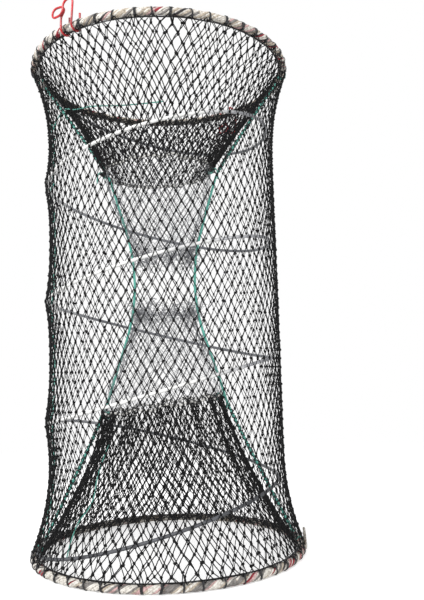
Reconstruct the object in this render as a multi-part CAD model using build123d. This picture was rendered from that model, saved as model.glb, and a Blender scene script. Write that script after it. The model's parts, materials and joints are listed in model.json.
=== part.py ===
"""Folding crab trap: two rope-bound hoops, one coil spring between them, a net body and two entry funnels.

Millimetres, +Z up. The trap stands on its lower hoop, and the origin is on that hoop's axis at floor
level. +X is to the right and +Y away from the side where the coil climbs from left to right.
"""
from build123d import *
import math
import os

# --- driving sizes -------------------------------------------------------------------------------
hoop_radius = 145.5            # centre line of both hoops
hoop_spacing = 545.0           # between the two hoops' centre planes, trap open
hoop_wire = 5.0                # steel ring inside the rope binding
binding_thickness = 2.0        # rope wound round the ring
coil_inset = 3.5               # the spring's ends inside the hoops' centre line
coil_waist = 14.0              # its middle turns inside the hoops' centre line
coil_wire = 3.5                # coated spring wire
coil_turns = 4                 # full turns from hoop to hoop
folded_pitch = 6.0             # one turn of wire with its share of folded net
seat_gap = 0.3                 # between soft pieces, wires and what carries them
fit_gap = 0.1                  # inside bindings and lashings

net_columns = 24               # panels of meshes round the trap
body_rows = 8                  # rows of meshes in the body
funnel_rows = 3                # rows of meshes in a funnel
net_bar = 1.6                  # twine width in the plane of the net
net_thickness = 0.8
net_offset = 2.5               # outer edges of the body net's ends outside the hoops' centre line

tie_thickness = 1.0            # black twine that ties the nets to a hoop, sunk in its binding
tie_width = 2.4
lower_funnel_depth = 156.0
lower_funnel_end = 65.0        # radius where the lower funnel meets its throat
upper_funnel_depth = 118.0
upper_funnel_end = 62.0
lower_throat_length = 105.0
upper_throat_length = 101.0
throat_half_width = 33.0       # flattened inner end of a throat
throat_half_gap = 9.0
throat_skin = 0.6
rim_twine = 1.0                # radius of the twine round each funnel's small end

side_cord = 3.0                # green cord that laces the funnels and stretches the throats
side_cord_bend = 120.0         # radius of its bends
side_cord_start = 12.0         # its ends' distance from the hoops' planes
seam_cord = 2.0                # green lacing of the body's seam

tail_angle = 16.0              # part of a turn of spring wire lashed along each hoop
lashing_width = 6.0            # twine that holds the spring's tail down
lashing_thickness = 1.0

knot_angle = 6.0               # part of a turn that the binding's end knot covers
knot_thickness = 2.5
knot_loop_radius = 5.0
knot_rope = 3.0

hook_wire = 2.3                # coated wire of the two clips
hook_gap = 0.5                 # clip's feet round the binding
hook_foot_spacing = 15.0
hook_rise = 11.0               # straight stretch above the hoop
standing_hook_tip = 15.0       # free ends of the feet, past the hoop's centre line
hanging_hook_tip = 0.5         # these end short of the folded spring
small_loop = 11.0
large_loop = 12.0
standing_hook_azimuth = 234.0
hanging_hook_azimuth = 54.0

# --- worked out ----------------------------------------------------------------------------------
coil_radius = hoop_radius - coil_inset
waist_radius = hoop_radius - coil_waist
net_radius = hoop_radius + net_offset
binding_radius = hoop_wire / 2 + binding_thickness
wire_radius = coil_wire / 2
lower_plane = binding_radius
upper_plane = lower_plane + hoop_spacing
height = upper_plane + binding_radius
column_angle = 360 / net_columns
panel_cosine = math.cos(math.radians(column_angle / 2))
groove_radius = binding_radius - fit_gap - tie_thickness

# the spring's ends rest on the bindings, just inside the hoop's centre line
rest_distance = binding_radius + seat_gap + wire_radius
coil_seat = math.sqrt(rest_distance ** 2 - coil_inset ** 2)
coil_bottom = lower_plane + coil_seat
coil_top = upper_plane - coil_seat
half_turns = 2 * coil_turns
end_turn_radius = (coil_radius + waist_radius) / 2
turn_radii = [end_turn_radius] + [waist_radius] * (half_turns - 2) + [end_turn_radius]
wire_reach = 2 * sum(turn_radii)
open_tilt = math.degrees(math.asin((coil_top - coil_bottom) / wire_reach))
folded_tilt = math.degrees(math.asin(folded_pitch / (4 * waist_radius)))
travel = coil_top - coil_bottom - wire_reach * math.sin(math.radians(folded_tilt))

# half turns meet at these places, on the trap's left and right by turns
pivots = [Vector(-coil_radius, 0, coil_bottom)]
for turn_radius in turn_radii:
    side = 1 if len(pivots) % 2 else -1
    pivots.append(pivots[-1] + Vector(side * 2 * turn_radius, 0, 0).rotate(Axis.Y, -side * open_tilt))

# meshes open at the clips, so their feet pass through the nets
net_phase = standing_hook_azimuth - column_angle / 2
mesh_middle = net_phase + column_angle / 2
left_mesh_middle = mesh_middle - column_angle * math.ceil((mesh_middle - 180) / column_angle)
body_bottom = lower_plane + binding_radius + seat_gap
body_top = upper_plane - binding_radius - seat_gap
body_row = (body_top - body_bottom) / body_rows
turn_offset = (pivots[1].X + pivots[2].X) / 2
turn_reach = math.hypot(waist_radius, turn_offset / math.sin(math.radians(open_tilt))) + wire_radius
net_waist = (turn_reach + seat_gap + net_thickness) / panel_cosine
funnel_mouth = (hoop_radius - binding_radius - seat_gap) / panel_cosine
mouth_offset = 1.5             # a funnel starts this far outside its hoop's centre plane
lower_mouth = lower_plane - mouth_offset
upper_mouth = upper_plane + mouth_offset
lower_neck = lower_mouth + lower_funnel_depth
upper_neck = upper_mouth - upper_funnel_depth
rim_step = rim_twine + seat_gap
lower_throat_end = lower_neck + 2 * rim_step + lower_throat_length
upper_throat_end = upper_neck - 2 * rim_step - upper_throat_length


def at_azimuth(angle, shape):
    """Turns a shape built at azimuth 0 round the trap's axis."""
    return Rot(0, 0, angle) * shape


def ring(radius, section, start=0.0, sweep=360.0, bore=0.0):
    """A round bar bent to a ring or part of one about Z; with a bore it is a sleeve."""
    face = Circle(section) - Circle(bore) if bore else Circle(section)
    face = Plane.XZ * Pos(radius, 0, 0) * face
    return at_azimuth(start, revolve(face, Axis.Z, revolution_arc=sweep))


def moved_in(corners, distance):
    """Corners of a convex outline with every side moved inwards."""
    lines = []
    for index, (x, y) in enumerate(corners):
        next_x, next_y = corners[(index + 1) % len(corners)]
        length = math.hypot(next_x - x, next_y - y)
        along = ((next_x - x) / length, (next_y - y) / length)
        lines.append((x - along[1] * distance, y + along[0] * distance, *along))
    inner = []
    for index, (bx, by, bu, bv) in enumerate(lines):
        ax, ay, au, av = lines[index - 1]
        reach = ((bx - ax) * bv - (by - ay) * bu) / (au * bv - av * bu)
        inner.append((ax + au * reach, ay + av * reach))
    return inner


def net_panel(low, high, rows):
    """One flat strip of diamond meshes between two (radius, height) edges, mitred to its neighbours."""
    half = math.radians(column_angle / 2)
    start = low[0] * panel_cosine
    slope = Vector(high[0] * panel_cosine - start, 0, high[1] - low[1])
    length = slope.length
    outward = Vector(slope.Z, 0, -slope.X).normalized()
    plane = Plane(origin=(start, 0, low[1]), x_dir=(0, 1, 0), z_dir=outward)

    def half_width(distance):
        return math.sin(half) * (low[0] + (high[0] - low[0]) * distance / length)

    step = length / rows
    meshes = []
    for row in range(rows + 1):
        level = row * step
        middle = level + step / 2
        side = half_width(middle)
        if row < rows:
            meshes.append([(0, level), (side, middle), (0, level + step), (-side, middle)])
        lower, upper = half_width(level - step / 2), half_width(middle)
        edge = 2 * half_width(level)
        meshes.append([(0, level), (lower, level - step / 2), (edge, level), (upper, middle)])
        meshes.append([(0, level), (-upper, middle), (-edge, level), (-lower, level - step / 2)])

    def placed(corners):
        return Wire.make_polygon([plane.from_local_coords(Vector(x, y, 0)) for x, y in corners])

    low_side, high_side = 2 * half_width(-step), 2 * half_width(length + step)
    outline = [(-low_side, -step), (low_side, -step), (high_side, length + step), (-high_side, length + step)]
    sheet = Solid.extrude(
        Face(placed(outline), [placed(moved_in(mesh, net_bar / 2)) for mesh in meshes]),
        outward * -net_thickness,
    )
    reach = 2 * max(low[0], high[0])
    spread = reach * math.tan(half)
    bottom, top = sorted((low[1], high[1]))
    sector = Face(Wire.make_polygon([(0, 0, bottom), (reach, -spread, bottom), (reach, spread, bottom)]))
    return sheet & Solid.extrude(sector, Vector(0, 0, top - bottom))


def net(low, high, rows):
    """A closed ring of net panels in one piece."""
    panel = net_panel(low, high, rows)
    panels = [at_azimuth(net_phase + index * column_angle, panel) for index in range(net_columns)]
    return panels[0].fuse(*panels[1:])


def body():
    """The body's net, drawn in by one row of meshes at each end."""
    low = (net_waist, body_bottom + body_row)
    high = (net_waist, body_top - body_row)
    ends = [net((net_radius, body_bottom), low, 1), net(high, (net_radius, body_top), 1)]
    return net(low, high, body_rows - 2).fuse(*ends)


def funnel(end_radius, depth):
    """A funnel of net that hangs from its mouth at height 0."""
    return net((end_radius, -depth), (funnel_mouth, 0), funnel_rows)


def throat(radius, neck, end):
    """A fine-mesh tube from a funnel's round end to its flattened inner end."""
    def tube(inset):
        circle = Pos(0, 0, neck) * Circle(radius - inset)
        slit = Pos(0, 0, end) * Ellipse(throat_half_width - inset, throat_half_gap - inset)
        return loft([circle, slit], ruled=True)
    return tube(0) - tube(throat_skin)


tie_azimuths = [net_phase + index * column_angle for index in range(net_columns)]


def band(outer, inner, width, azimuth, level):
    """A short sleeve round a hoop's section."""
    outward = Vector(1, 0, 0).rotate(Axis.Z, azimuth)
    along = Vector(0, 1, 0).rotate(Axis.Z, azimuth)
    station = Plane(origin=outward * hoop_radius + Vector(0, 0, level), x_dir=outward, z_dir=along)
    return extrude(station * (Circle(outer) - Circle(inner)), width / 2, both=True)


def binding(level, lashing_azimuth):
    """The rope wound round a hoop's ring, drawn in where ties and the spring's lashing bite."""
    rope = Pos(0, 0, level) * ring(hoop_radius, binding_radius, bore=hoop_wire / 2)
    deep = 2 * binding_radius
    widths = dict.fromkeys(tie_azimuths, tie_width)
    widths[lashing_azimuth] = lashing_width
    grooves = []
    for azimuth, width in widths.items():
        grooves.append(band(deep, groove_radius, width + 2 * fit_gap, azimuth, level))
    return rope.cut(*grooves)


def net_ties(level):
    """Twine tied round a hoop's binding at every mesh."""
    return Compound(children=[
        band(binding_radius, groove_radius + fit_gap, tie_width, azimuth, level) for azimuth in tie_azimuths
    ])


def coil_arc(number):
    """Half a turn of the spring: odd ones climb to the right in front, even ones to the left behind."""
    front = number % 2 == 1
    radius = turn_radii[number - 1]
    arc = ring(radius, wire_radius, 180 if front else 0, 180)
    arc = Pos(radius if front else -radius, 0, 0) * arc
    return Pos(pivots[number - 1]) * Rot(0, -open_tilt if front else open_tilt, 0) * arc


def spring_tail(level, forward):
    """The spring's last stretch, laid along the hoop."""
    start = 180 if forward else 180 - tail_angle
    return Pos(0, 0, level) * ring(coil_radius, wire_radius, start, tail_angle)


def spring_lashing(plane_height, level, azimuth):
    """A band of twine round a hoop, in its groove, and the spring's tail."""
    def outline(round_hoop, round_wire):
        circles = Pos(hoop_radius, plane_height) * Circle(round_hoop)
        circles += Pos(coil_radius, level) * Circle(round_wire)
        return make_hull(circles.edges())
    inner = outline(groove_radius + fit_gap, wire_radius + fit_gap)
    outer = outline(binding_radius, wire_radius + fit_gap + lashing_thickness)
    return at_azimuth(azimuth, extrude(Plane.XZ * (outer - inner), lashing_width / 2, both=True))


def binding_knot():
    """Where the binding's rope ends: a thick knot outside the spring, flush below, with one small loop."""
    outer = binding_radius + fit_gap + knot_thickness
    knot = Plane.XZ * Pos(hoop_radius, outer) * Circle(outer)
    knot = at_azimuth(-knot_angle / 2, revolve(knot, Axis.Z, revolution_arc=knot_angle))
    knot -= Pos(0, 0, outer) * Cylinder(coil_radius + wire_radius + seat_gap, 3 * outer)
    knot -= Pos(0, 0, lower_plane) * ring(hoop_radius, binding_radius + fit_gap)
    loop = Rot(0, 90, 0) * ring(knot_loop_radius, knot_rope / 2)
    knot += Pos(hoop_radius + knot_rope / 2, 0, 2 * outer + knot_loop_radius - knot_rope / 2) * loop
    return at_azimuth(left_mesh_middle + 180, knot)


def largest_radii(points, most):
    """The largest fillet that each corner of a route has room for, up to a limit."""
    radii = []
    for before, corner, after in zip(points, points[1:], points[2:]):
        arriving, leaving = corner - before, after - corner
        half_turn = math.radians(arriving.get_angle(leaving)) / 2
        shorter = min(arriving.length, leaving.length)
        radii.append(min(most, 0.45 * shorter / math.tan(half_turn)))
    return radii


def swept_wire(points, section, most):
    """A round wire or cord along straight runs and tangent arcs."""
    points = [Vector(*point) for point in points]
    path = FilletPolyline(*points, radius=largest_radii(points, most))
    return sweep(Plane(origin=path @ 0, z_dir=path % 0) * Circle(section), path)


def funnel_side_cord(side):
    """Green cord from hoop to hoop: down one funnel, its throat, the other throat and the other funnel."""
    offset = side_cord / 2 + seat_gap
    end_offset = offset + rim_twine

    def beside(radius, level, clearance):
        return (side * (radius + clearance), 0, level)

    mouth_clearance = offset / math.cos(math.atan2(funnel_mouth - lower_funnel_end, lower_funnel_depth))
    slope_low = (funnel_mouth - lower_funnel_end) / lower_funnel_depth
    slope_high = (funnel_mouth - upper_funnel_end) / upper_funnel_depth
    route = [
        beside(funnel_mouth - slope_high * side_cord_start, upper_mouth - side_cord_start, mouth_clearance),
        beside(upper_funnel_end, upper_neck, end_offset),
        beside(throat_half_width, upper_throat_end, offset),
        beside(throat_half_width, lower_throat_end, offset),
        beside(lower_funnel_end, lower_neck, end_offset),
        beside(funnel_mouth - slope_low * side_cord_start, lower_mouth + side_cord_start, mouth_clearance),
    ]
    return swept_wire(route, side_cord / 2, side_cord_bend)


def body_seam():
    """Lacing up the outside of the body net."""
    clearance = seat_gap + seam_cord / 2
    waist = net_waist + clearance
    start = 2 * seam_cord
    end = net_radius + clearance - (net_radius - net_waist) * start / body_row
    route = [
        (end, 0, body_bottom + start),
        (waist, 0, body_bottom + body_row),
        (waist, 0, body_top - body_row),
        (end, 0, body_top - start),
    ]
    return at_azimuth(left_mesh_middle, swept_wire(route, seam_cord / 2, side_cord_bend))


def wire_clip(tip):
    """A bent-wire clip at azimuth 0, its feet round the origin and its two loops standing up.

    X points outwards, Y along the hoop. One wire runs from a free tip under the hoop, up, round a small
    loop, across itself, round a large loop and down to the second foot.
    """
    foot = binding_radius + hook_gap + hook_wire / 2
    half = hook_foot_spacing / 2
    apart = 0.6 * hook_wire
    cross = hook_rise + foot / 2
    small_low, small_high = cross - small_loop / 4, cross + 3 * small_loop / 4
    large_high = cross + large_loop
    route = [
        (-foot, -half, tip),
        (-foot, -half, -foot),
        (foot, -half, -foot),
        (foot - apart / 2, -half, cross - small_loop / 3),
        (foot - apart, -half / 3, cross + small_loop / 3),
        (foot - apart, -half, small_high),
        (foot, -half - small_loop, small_high),
        (foot + apart, -half - small_loop, small_low),
        (foot + apart, -half / 2, small_low),
        (foot + apart / 2, -half / 3, large_high),
        (foot, half + large_loop / 4, large_high),
        (foot, half, -foot),
        (-foot, half, -foot),
        (-foot, half, tip),
    ]
    return swept_wire(route, hook_wire / 2, foot * 0.99)


def on_upper_hoop(azimuth, clip):
    """A clip in its place: put on from below it stands up, and turned over it hangs outside."""
    return at_azimuth(azimuth, Pos(hoop_radius, 0, upper_plane) * clip)


# --- sub-parts -----------------------------------------------------------------------------------
parts = {}
parts["lower_hoop_ring"] = Pos(0, 0, lower_plane) * ring(hoop_radius, hoop_wire / 2)
parts["upper_hoop_ring"] = Pos(0, 0, upper_plane) * ring(hoop_radius, hoop_wire / 2)
lower_lashing_azimuth = left_mesh_middle
upper_lashing_azimuth = left_mesh_middle + column_angle
parts["lower_hoop_binding"] = binding(lower_plane, lower_lashing_azimuth)
parts["upper_hoop_binding"] = binding(upper_plane, upper_lashing_azimuth)
parts["binding_end_knot"] = binding_knot()
parts["lower_net_ties"] = net_ties(lower_plane)
parts["upper_net_ties"] = net_ties(upper_plane)
parts["lower_spring_tail"] = spring_tail(coil_bottom, False)
parts["upper_spring_tail"] = spring_tail(coil_top, True)
parts["lower_spring_lashing"] = spring_lashing(lower_plane, coil_bottom, lower_lashing_azimuth)
parts["upper_spring_lashing"] = spring_lashing(upper_plane, coil_top, upper_lashing_azimuth)
for number in range(1, half_turns + 1):
    parts[f"coil_half_turn_{number}"] = coil_arc(number)
parts["body_net"] = body()
lower_funnel = mirror(funnel(lower_funnel_end, lower_funnel_depth), Plane.XY)
parts["lower_funnel_net"] = Pos(0, 0, lower_mouth) * lower_funnel
parts["upper_funnel_net"] = Pos(0, 0, upper_mouth) * funnel(upper_funnel_end, upper_funnel_depth)
parts["lower_funnel_rim"] = Pos(0, 0, lower_neck + rim_step) * ring(lower_funnel_end, rim_twine)
parts["upper_funnel_rim"] = Pos(0, 0, upper_neck - rim_step) * ring(upper_funnel_end, rim_twine)
parts["lower_throat_net"] = throat(lower_funnel_end, lower_neck + 2 * rim_step, lower_throat_end)
parts["upper_throat_net"] = throat(upper_funnel_end, upper_neck - 2 * rim_step, upper_throat_end)
parts["left_side_cord"] = funnel_side_cord(-1)
parts["right_side_cord"] = funnel_side_cord(1)
parts["body_seam_lacing"] = body_seam()
hanging_clip = Rot(180, 0, 0) * wire_clip(hanging_hook_tip)
parts["standing_clip"] = on_upper_hoop(standing_hook_azimuth, wire_clip(standing_hook_tip))
parts["hanging_clip"] = on_upper_hoop(hanging_hook_azimuth, hanging_clip)

os.makedirs("parts", exist_ok=True)
for name, shape in parts.items():
    export_step(shape, f"parts/{name}.step")

print("overall height", height, "travel", round(travel, 4))
print("open tilt", round(open_tilt, 5), "folded tilt", round(folded_tilt, 5))
print("pivots", [(round(pivot.X, 4), round(pivot.Z, 4)) for pivot in pivots])
print("net radius", round(net_radius, 3), "waist", round(net_waist, 3), "row", round(body_row, 3))
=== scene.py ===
"""Folding crab trap: netting, bindings, cords, clips and finishes, fitted over the packed frame.

Metres, +Z up. Every piece takes its place from the frame's own nodes and joints.
"""
import itertools
import json
import math

import bpy
import numpy as np
from bpy.props import FloatProperty, FloatVectorProperty, IntProperty, PointerProperty, StringProperty
from mathutils import Matrix, Vector


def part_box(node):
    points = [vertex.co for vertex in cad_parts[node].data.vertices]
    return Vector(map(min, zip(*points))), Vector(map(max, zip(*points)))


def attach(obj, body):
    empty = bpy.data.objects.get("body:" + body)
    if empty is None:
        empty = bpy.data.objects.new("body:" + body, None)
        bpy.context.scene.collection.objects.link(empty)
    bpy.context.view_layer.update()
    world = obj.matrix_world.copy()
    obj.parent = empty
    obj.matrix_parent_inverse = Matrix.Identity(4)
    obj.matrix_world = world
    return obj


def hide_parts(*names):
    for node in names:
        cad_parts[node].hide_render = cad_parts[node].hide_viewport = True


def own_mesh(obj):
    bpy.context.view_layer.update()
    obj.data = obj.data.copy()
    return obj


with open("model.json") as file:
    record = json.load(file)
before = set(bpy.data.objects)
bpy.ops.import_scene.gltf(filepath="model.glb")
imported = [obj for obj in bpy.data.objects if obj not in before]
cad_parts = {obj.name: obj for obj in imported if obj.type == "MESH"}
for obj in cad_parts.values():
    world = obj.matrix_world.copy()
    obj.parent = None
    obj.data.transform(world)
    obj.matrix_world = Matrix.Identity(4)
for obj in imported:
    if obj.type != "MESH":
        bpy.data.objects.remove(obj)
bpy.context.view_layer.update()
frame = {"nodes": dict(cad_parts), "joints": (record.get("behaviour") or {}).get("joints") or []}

bl_info = {
    "name": "Folding crab trap",
    "version": (1, 0, 0),
    "blender": (4, 5, 0),
    "location": "3D View > Sidebar > Crab trap",
    "description": "Nets, bindings, cords, clips and studio for a folding crab trap",
    "category": "Object",
}

MM = 0.001
UP = np.array([0, 0, 1.0])

# --- places read from the frame -------------------------------------------------------------------
joints = {joint["name"]: joint for joint in frame["joints"]}


def node_middle(node):
    """Level of the middle of a node."""
    low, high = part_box(node)
    return (low.z + high.z) / 2


def node_height(node):
    """How tall a node is."""
    low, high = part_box(node)
    return high.z - low.z


def node_azimuth(node):
    """Direction of a node from the trap's axis."""
    low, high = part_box(node)
    middle = (low + high) / 2
    return math.atan2(middle.y, middle.x)


lower_plane = node_middle("lower_hoop_ring")
upper_plane = node_middle("upper_hoop_ring")
hoop_wire = node_height("lower_hoop_ring")
hoop_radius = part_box("lower_hoop_ring")[1].x - hoop_wire / 2
binding_radius = node_height("lower_hoop_binding") / 2
coil_wire = node_height("lower_spring_tail")
half_turns = 8


def spring_pivots():
    """Places where the spring's half turns meet, from the bottom up, as rows of x and z."""
    places = [joints[f"coil_turn_{turn}"]["pos_m"] for turn in range(1, half_turns + 1)]
    half = half_turns // 2
    middle = [places[half - 2][0], 0, (places[half - 1][2] + places[half][2]) / 2]
    return np.array(places[:half] + [middle] + places[half:])[:, (0, 2)]


pivots = spring_pivots()
LOWER, UPPER = "base", "top"


# --- sizes and colours that a user would change ---------------------------------------------------
def millimetres(name, description, default):
    """A length property that is written in millimetres."""
    return FloatProperty(name=name, description=description, default=default * MM, min=0,
                         unit="LENGTH", subtype="DISTANCE")


def count(name, description, default):
    """A whole number property."""
    return IntProperty(name=name, description=description, default=default, min=1)


def degrees(name, description, default):
    """An angle property that is written in degrees."""
    return FloatProperty(name=name, description=description, default=math.radians(default),
                         subtype="ANGLE", unit="ROTATION")


def amount(name, description, default):
    """A property with no unit of its own."""
    return FloatProperty(name=name, description=description, default=default)


def colour(name, description, default):
    """A colour property written as an sRGB hex value."""
    return StringProperty(name=name, description=description, default=default)


class TrapNetSettings(bpy.types.PropertyGroup):
    """Meshes of the body, the funnels and the throats"""
    body_columns: count("Body meshes round", "Meshes round the body", 76)
    body_rows: count("Body half rows", "Half meshes from hoop to hoop", 56)
    twine: millimetres("Body twine", "Diameter of the body's twine", 0.95)
    knot: millimetres("Knot", "Width of a net knot", 3.3)
    waist: millimetres("Waist", "Radius that the body net is drawn in to between the spring's turns", 130)
    body_bar: millimetres("Body bar", "Twine from knot to knot in the body", 10.85)
    funnel_columns: count("Funnel meshes round", "Meshes round a funnel", 76)
    funnel_bar: millimetres("Funnel half mesh", "Height of half a mesh along a funnel", 9.2)
    funnel_twine: millimetres("Funnel twine", "Diameter of the funnels' twine", 1.05)
    pleat: millimetres("Pleats", "Depth of the gathers at a funnel's neck", 4.0)
    throat_columns: count("Throat meshes round", "Meshes round a throat", 46)
    throat_rows: count("Throat half rows", "Half meshes down a throat", 26)
    throat_twine: millimetres("Throat twine", "Diameter of the throats' fine twine", 0.42)
    black: colour("Net", "Black polyethylene twine", "#060607")
    grey: colour("Throat", "Grey monofilament", "#6E6F74")


class TrapBindingSettings(bpy.types.PropertyGroup):
    """Strips wound round the hoops, and the ties over them"""
    strips: count("Strips", "Strips wound side by side", 9)
    strip_turns: count("Turns", "Turns of the strips round one hoop", 31)
    ties: count("Ties", "Black ties round one hoop", 48)
    tie_twine: millimetres("Tie twine", "Diameter of the tying twine", 0.95)
    cream: colour("Cream", "Commonest strip", "#EFEBE3")
    beige: colour("Beige", "Second strip", "#C9BDAC")
    grey: colour("Grey", "Third strip", "#8D8986")
    dark: colour("Dark", "Fourth strip", "#3B3739")
    red: colour("Red", "Rarest strip", "#9E2A38")


class TrapCordSettings(bpy.types.PropertyGroup):
    """Green cords beside the throats, the seam and the funnels' rims"""
    strands: count("Strands", "Strands of a side cord", 3)
    lay: millimetres("Lay", "Length of one twist of a side cord", 9.0)
    seam_twine: millimetres("Seam twine", "Diameter of the seam's lacing", 1.3)
    # Teal is the cord's colour in the light. The deep teal is its painted shade from between the strands.
    teal: colour("Teal", "Green cord in the light", "#46A897")
    teal_shade_between_strands: colour("Deep teal", "Green cord between its strands", "#1F6A60")


class TrapWireSettings(bpy.types.PropertyGroup):
    """The spring's wire and the two clips"""
    # The coat's white is painted light where the wire faces the front left. The worn wire grey is both
    # scuffs and painted shade to the back and right.
    wire: colour("Wire", "Pale coat on the spring wire", "#F4F4F2")
    worn_and_shaded_wire: colour("Worn wire", "Scuffed coat on the spring wire", "#B4B5BA")
    red: colour("Clip", "Red coat on the clips", "#C4121C")
    dark_red: colour("Clip in the bends", "Red coat where it is stretched", "#7E0B16")


class TrapStageSettings(bpy.types.PropertyGroup):
    """Camera, lights and floor"""
    camera_place: FloatVectorProperty(name="Camera place", description="Where the camera stands",
                                      default=(0.0356, -0.7555, 0.1965), unit="LENGTH",
                                      subtype="TRANSLATION")
    camera_turn: degrees("Turn", "Camera turned to the right", 1.41)
    camera_climb: degrees("Climb", "Camera turned upwards", 6.2)
    camera_roll: degrees("Roll", "Camera rolled about its view", -1.6)
    camera_lens: amount("Lens", "Focal length on a 36 mm sensor", 39.35)
    key_power: amount("Key light", "Watts of the large soft light", 19.0)
    fill_power: amount("Fill light", "Watts of the fill light", 6.0)
    sky: amount("Sky", "Strength of the white surroundings", 0.62)


GROUPS = {
    "trap_nets": TrapNetSettings,
    "trap_bindings": TrapBindingSettings,
    "trap_cords": TrapCordSettings,
    "trap_wires": TrapWireSettings,
    "trap_stage": TrapStageSettings,
}


def new_object(name, data):
    """A new object in the scene."""
    made = bpy.data.objects.new(name, data)
    bpy.context.scene.collection.objects.link(made)
    return made


# --- colours and materials ------------------------------------------------------------------------
def linear(hex_colour):
    """sRGB hex to a linear RGBA colour."""
    parts = [int(hex_colour[i:i + 2], 16) / 255 for i in (1, 3, 5)]
    return [p / 12.92 if p <= 0.04045 else ((p + 0.055) / 1.055) ** 2.4 for p in parts] + [1.0]


def add_node(tree, kind, settings=None, stops=(), **links):
    """Adds a shader node with its settings, a ramp's (position, hex colour) stops, and its inputs."""
    node = tree.nodes.new("ShaderNode" + kind)
    for key, value in (settings or {}).items():
        setattr(node, key, value)
    for number, (position, hex_colour) in enumerate(stops):
        elements = node.color_ramp.elements
        element = elements[number] if number < len(elements) else elements.new(1.0)
        element.position = position
        element.color = linear(hex_colour)
    for key, value in links.items():
        socket = node.inputs[int(key[1:])] if key[1:].isdigit() else node.inputs[key.replace("_", " ")]
        if isinstance(value, bpy.types.NodeSocket):
            tree.links.new(value, socket)
        else:
            socket.default_value = value
    return node


def cleared(owner):
    """The empty node tree of a material or a world."""
    owner.use_nodes = True
    owner.node_tree.nodes.clear()
    return owner.node_tree


def surface(name, **shader):
    """A new material with its main shader; shader's values go on the shader's own sockets."""
    material = bpy.data.materials.new(name)
    tree = cleared(material)
    skin = add_node(tree, "BsdfPrincipled", **shader)
    add_node(tree, "OutputMaterial", Surface=skin.outputs[0])
    return material, tree, skin


def grain(tree, size, detail=2.0, roughness=0.5):
    """Noise whose blotches are about one size across, in metres, in the object's own space."""
    place = add_node(tree, "TexCoord")
    noise = add_node(tree, "TexNoise", Vector=place.outputs["Object"], Scale=1 / size,
                     Detail=detail, Roughness=roughness)
    return noise.outputs[0]


def finished(material, skin, shade, bump, detail=2.0):
    """Colours a material, and gives it a bump of a (size, depth) in metres."""
    tree = material.node_tree
    tree.links.new(shade, skin.inputs["Base Color"])
    relief = add_node(tree, "Bump", Height=grain(tree, bump[0], detail), Distance=bump[1],
                      Strength=1.0)
    tree.links.new(relief.outputs[0], skin.inputs["Normal"])
    return material


def mottled(name, blotch, stops, bump, detail=2.0, roughness=0.5, **shader):
    """A material that changes between colours, in blotches of one size."""
    material, tree, skin = surface(name, **shader)
    shade = add_node(tree, "ValToRGB", stops=stops, Fac=grain(tree, blotch, detail, roughness))
    return finished(material, skin, shade.outputs[0], bump)


def net_twine(settings):
    """Black polyethylene net twine, twisted and knotted: near black and dull."""
    return mottled("black_net_twine", 14 * MM, [(0.35, settings.black), (0.75, "#121214")],
                   (0.35 * MM, 0.12 * MM), Roughness=0.72, Specular_IOR_Level=0.22)


def throat_monofilament(settings):
    """Fine grey nylon monofilament: smooth, slightly clear, with a soft shine."""
    return mottled("grey_nylon_monofilament", 9 * MM, [(0.3, settings.grey), (0.75, "#A3A4A9")],
                   (0.6 * MM, 0.05 * MM), Roughness=0.38, IOR=1.53)


def wound_strips(settings):
    """Torn polypropylene strips wound as a rope: dry, fibrous, one colour to a strip, dirt between."""
    material, tree, skin = surface("wound_polypropylene_strip", Roughness=0.72)
    tone = add_node(tree, "Attribute", {"attribute_name": "tone"})
    strip = add_node(tree, "ValToRGB", Fac=tone.outputs["Fac"], stops=[
        (0.0, settings.cream), (0.36, settings.beige), (0.58, settings.grey), (0.76, "#D8B4B2"),
        (0.83, settings.dark), (0.93, settings.red)])
    strip.color_ramp.interpolation = "CONSTANT"
    dirt = add_node(tree, "ValToRGB", stops=[(0.36, "#9C948C"), (0.56, "#FFFFFF")],
                    Fac=grain(tree, 2.2 * MM, 4.0, 0.65))
    worn = add_node(tree, "Mix", {"data_type": "RGBA", "blend_type": "MULTIPLY"},
                    _0=0.7, _6=strip.outputs[0], _7=dirt.outputs[0])
    return finished(material, skin, worn.outputs[2], (0.5 * MM, 0.25 * MM), 3.0)


def tying_twine():
    """Black braided nylon twine, waxed: tight and slightly shiny."""
    return mottled("black_braided_twine", 1.4 * MM, [(0.3, "#0C0C0D"), (0.7, "#2A2A2D")],
                   (0.5 * MM, 0.15 * MM), Roughness=0.46)


def green_cord(settings):
    """Twisted polypropylene cord: bright teal fibres, mottled at random with a deep green painted shade, the
    cord's shade where its strands meet.
    """
    material, tree, skin = surface("twisted_polypropylene_cord", Roughness=0.5, Sheen_Weight=0.15)
    tone = add_node(tree, "Attribute", {"attribute_name": "tone"})
    fibre = add_node(tree, "Math", {"operation": "MULTIPLY_ADD"},
                     _0=grain(tree, 1.1 * MM, 3.0), _1=0.55, _2=tone.outputs["Fac"])
    # Painted shade: the deep teal stop is the cord's shade between its strands, spread over it by noise and
    # tone. The teal is its lit colour.
    shade = add_node(tree, "ValToRGB", Fac=fibre.outputs[0], stops=[
        (0.12, settings.teal_shade_between_strands), (0.5, settings.teal), (0.95, "#86CFC0")])
    return finished(material, skin, shade.outputs[0], (0.4 * MM, 0.15 * MM))


def pale_cord():
    """White polypropylene cord in the funnels' necks, greyed by use."""
    return mottled("white_polypropylene_cord", 3 * MM, [(0.3, "#B9B7B2"), (0.6, "#F1F0EC")],
                   (0.5 * MM, 0.15 * MM), 3.0, Roughness=0.6)


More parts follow.
